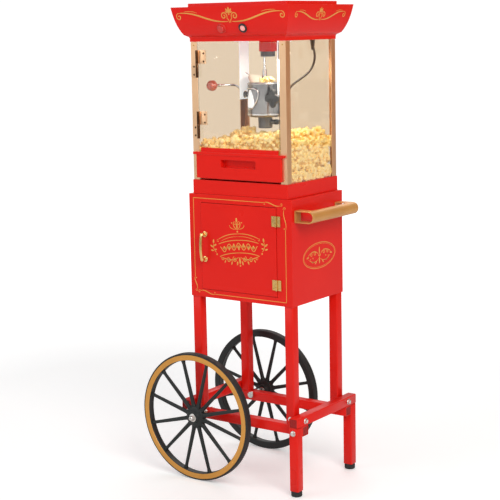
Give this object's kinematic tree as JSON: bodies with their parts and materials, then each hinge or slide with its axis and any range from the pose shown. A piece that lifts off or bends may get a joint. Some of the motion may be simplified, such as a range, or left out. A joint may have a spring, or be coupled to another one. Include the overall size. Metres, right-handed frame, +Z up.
{
  "type": "popcorn cart",
  "caption": "Wheeled popcorn cart: glass popping chamber with a tilting kettle under a flared red canopy, on a red cabinet and tube stand with spoked wheels.",
  "frame": {"origin": "middle of the footprint, on the floor under the wheels and feet", "axes": "+Z up, -Y the front with the doors and switch, +X the side with the push handle and the feet; the wheels are towards -X"},
  "size_m": [0.5024, 0.368, 1.219],
  "materials": {
    "red_paint": "gloss",
    "rubber": "matt",
    "steel": "satin",
    "wheel_black": "satin black with a gold ring on the outer face",
    "brass": "polished",
    "gold_metal": "polished",
    "gold_paint": "metallic satin",
    "window_panes": "clear",
    "white_paint": "satin",
    "grey_casting": "satin grey",
    "amber_plastic": "gloss",
    "black_plastic": "satin",
    "lead_rubber": "matt",
    "popcorn": "rough"
  },
  "bodies": {
    "cart": {"cross_rail_front": "red_paint", "cross_rail_rear": "red_paint", "side_rail_left": "red_paint", "side_rail_right": "red_paint", "lower_leg_front": "red_paint", "lower_leg_rear": "red_paint", "upper_leg_front_left": "red_paint", "upper_leg_front_right": "red_paint", "upper_leg_rear_left": "red_paint", "upper_leg_rear_right": "red_paint", "cabinet_body": "red_paint", "chamber_base": "red_paint", "canopy_shell": "red_paint", "canopy_lid": "red_paint", "motor_cover": "red_paint", "foot_front": "rubber", "foot_rear": "rubber", "axle_front": "steel", "axle_rear": "steel", "chamber_floor": "steel", "cabinet_hinge_upper_fixed_leaf": "brass", "cabinet_hinge_lower_fixed_leaf": "brass", "glass_hinge_upper_post_leaf": "brass", "glass_hinge_lower_post_leaf": "brass", "corner_post_front_left": "gold_metal", "corner_post_front_right": "gold_metal", "corner_post_rear_left": "gold_metal", "corner_post_rear_right": "gold_metal", "push_handle": "gold_paint", "window_left": "window_panes", "window_right": "window_panes", "window_rear": "window_panes", "kettle_hanger_left": "white_paint", "kettle_hanger_right": "white_paint", "stir_motor": "grey_casting", "indicator_lamp": "black_plastic", "kettle_lead": "lead_rubber", "popcorn_heap": "popcorn"},
    "front_wheel": {"wheel_front": "wheel_black"},
    "rear_wheel": {"wheel_rear": "wheel_black"},
    "cabinet_door_body": {"cabinet_door": "red_paint", "cabinet_door_pull": "brass", "cabinet_hinge_upper_door_leaf": "brass", "cabinet_hinge_lower_door_leaf": "brass"},
    "glass_door_body": {"glass_door": "window_panes", "glass_hinge_upper_door_leaf": "brass", "glass_hinge_lower_door_leaf": "brass"},
    "drawer": {"crumb_drawer": "red_paint"},
    "drive": {"drive_shaft": "steel"},
    "coupling": {"drive_coupling": "steel"},
    "kettle": {"kettle_pot": "steel", "heater_housing": "grey_casting", "tilt_handle_rod": "steel", "tilt_handle_ball": "amber_plastic"},
    "left_lid": {"kettle_lid_left": "steel"},
    "right_lid": {"kettle_lid_right": "steel"},
    "lock_knob": {"kettle_lock_knob": "black_plastic"},
    "stirrer_body": {"stirrer": "steel"},
    "button": {"power_button": "red_paint"}
  },
  "joints": [
    {"name": "front_wheel_spin", "type": "hinge", "parent": "cart", "child": "front_wheel", "pos_m": [-0.08315, -0.156, 0.168], "axis": [0, 1, 0], "continuous": true},
    {"name": "rear_wheel_spin", "type": "hinge", "parent": "cart", "child": "rear_wheel", "pos_m": [-0.08315, 0.156, 0.168], "axis": [0, 1, 0], "continuous": true},
    {"name": "cabinet_door_swing", "type": "hinge", "parent": "cart", "child": "cabinet_door_body", "pos_m": [0.15085, -0.1217, 0.61], "axis": [0, 0, 1], "range_deg": [0, 110]},
    {"name": "glass_door_swing", "type": "hinge", "parent": "cart", "child": "glass_door_body", "pos_m": [-0.08165, -0.1175, 0.994], "axis": [0, 0, -1], "range_deg": [0, 110]},
    {"name": "crumb_drawer_slide", "type": "slide", "parent": "cart", "child": "drawer", "axis": [0, -1, 0], "range_m": [0, 0.15]},
    {"name": "kettle_tilt", "type": "hinge", "parent": "cart", "child": "kettle", "pos_m": [0.04685, -0.006, 0.99], "axis": [1, 0, 0], "range_deg": [0, 75], "deforming": ["kettle_lead"]},
    {"name": "left_lid_swing", "type": "hinge", "parent": "kettle", "child": "left_lid", "pos_m": [0.03835, -0.006, 1.0203], "axis": [0, 1, 0], "range_deg": [-28, 58]},
    {"name": "right_lid_swing", "type": "hinge", "parent": "kettle", "child": "right_lid", "pos_m": [0.05535, -0.006, 1.0203], "axis": [0, -1, 0], "range_deg": [0, 88]},
    {"name": "lock_knob_spin", "type": "hinge", "parent": "kettle", "child": "lock_knob", "pos_m": [0.10085, -0.05, 0.983], "axis": [0, -1, 0], "continuous": true},
    {"name": "drive_spin", "type": "hinge", "parent": "cart", "child": "drive", "pos_m": [0.04685, -0.006, 1.09], "axis": [0, 0, 1], "continuous": true},
    {"name": "stirrer_spin", "type": "hinge", "parent": "kettle", "child": "stirrer_body", "pos_m": [0.04685, -0.006, 0.98], "axis": [0, 0, 1], "continuous": true},
    {"name": "coupling_lift", "type": "slide", "parent": "drive", "child": "coupling", "axis": [0, 0, 1], "range_m": [0, 0.028]},
    {"name": "power_button_press", "type": "slide", "parent": "cart", "child": "button", "axis": [0, 0.915, 0.4035], "range_m": [0, 0.003], "stiffness_N_per_m": 400}
  ],
  "couplings": [
    {"joint": "coupling_lift", "follows": "kettle_tilt", "m_per_rad": 0.0206},
    {"joint": "stirrer_spin", "follows": "drive_spin", "ratio": 1}
  ]
}
